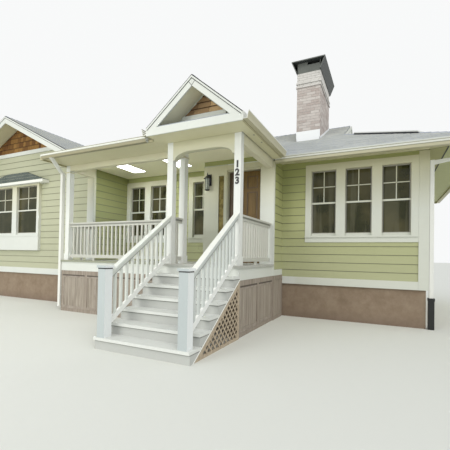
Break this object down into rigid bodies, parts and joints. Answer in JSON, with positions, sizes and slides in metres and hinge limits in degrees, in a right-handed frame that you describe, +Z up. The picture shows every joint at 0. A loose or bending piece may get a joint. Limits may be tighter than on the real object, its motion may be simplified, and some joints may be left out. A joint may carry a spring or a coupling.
{
  "type": "bungalow",
  "caption": "Bungalow with a raised front porch, a gabled entry portico with an arch, front stairs, hipped and gabled roofs and a brick chimney; the front door swings.",
  "frame": {"origin": "centre of the bounding box in plan, at ground level", "axes": "+X to the right along the front as seen from the street, +Y from the front steps to the back wall, +Z up"},
  "size_m": [14.95, 10.325, 6.36],
  "materials": {
    "siding": "painted lap siding, matt",
    "white_trim": "painted boards, satin",
    "base": "parged masonry, rough",
    "floor_boards": "bare boards",
    "cedar": "weathered cedar shingles",
    "shingles": "asphalt shingles, rough",
    "dark_shingles": "asphalt shingles, rough",
    "glass": "clear window glass",
    "door_wood": "stained panelled wood",
    "brass": "polished",
    "soffit": "painted boards, matt",
    "white_metal": "painted sheet metal",
    "brick": "weathered brick, rough",
    "cap_metal": "dull sheet metal",
    "deck": "painted grey boards",
    "tread_paint": "painted pale grey",
    "skirt_paint": "brown-grey stained wood",
    "black_metal": "black, satin"
  },
  "bodies": {
    "house": {"foundation": "base", "house_floor": "floor_boards", "left_front_wall": "siding", "left_outer_wall": "siding", "left_porch_wall": "siding", "back_wall": "siding", "right_side_wall": "siding", "right_front_wall": "siding", "porch_back_wall": "siding", "entry_wall_left": "siding", "entry_wall_right": "siding", "entry_wall_over": "siding", "gable_shingles": "cedar", "trim_boards": "white_trim", "window_trim": "white_trim", "left_window_box": "white_trim", "left_window_hood": "dark_shingles", "window_sashes": "white_trim", "window_glass": "glass", "door_frame": "white_trim", "left_wing_roof": "shingles", "main_roof": "shingles", "porch_roof": "shingles", "portico_roof": "shingles", "porch_ceiling": "soffit", "soffits": "soffit", "fascias": "white_trim", "portico_gable": "white_trim", "gutters": "white_metal", "downspouts": "white_metal", "chimney_stack": "brick", "chimney_cap": "cap_metal", "porch_floor": "deck", "porch_rim": "white_trim", "porch_posts": "white_trim", "porch_beams": "white_trim", "arch_beam": "white_trim", "porch_railings": "white_trim", "stair_railings": "white_trim", "stair_treads": "tread_paint", "stair_risers": "tread_paint", "lattice": "skirt_paint", "skirting": "skirt_paint", "lantern": "black_metal"},
    "door_leaf": {"front_door": "door_wood", "door_knob": "brass"}
  },
  "joints": [
    {"name": "front_door_hinge", "type": "hinge", "parent": "house", "child": "door_leaf", "pos_m": [3.33, -1.6645, 1.5], "axis": [0, 0, -1], "range_deg": [0, 90]}
  ]
}
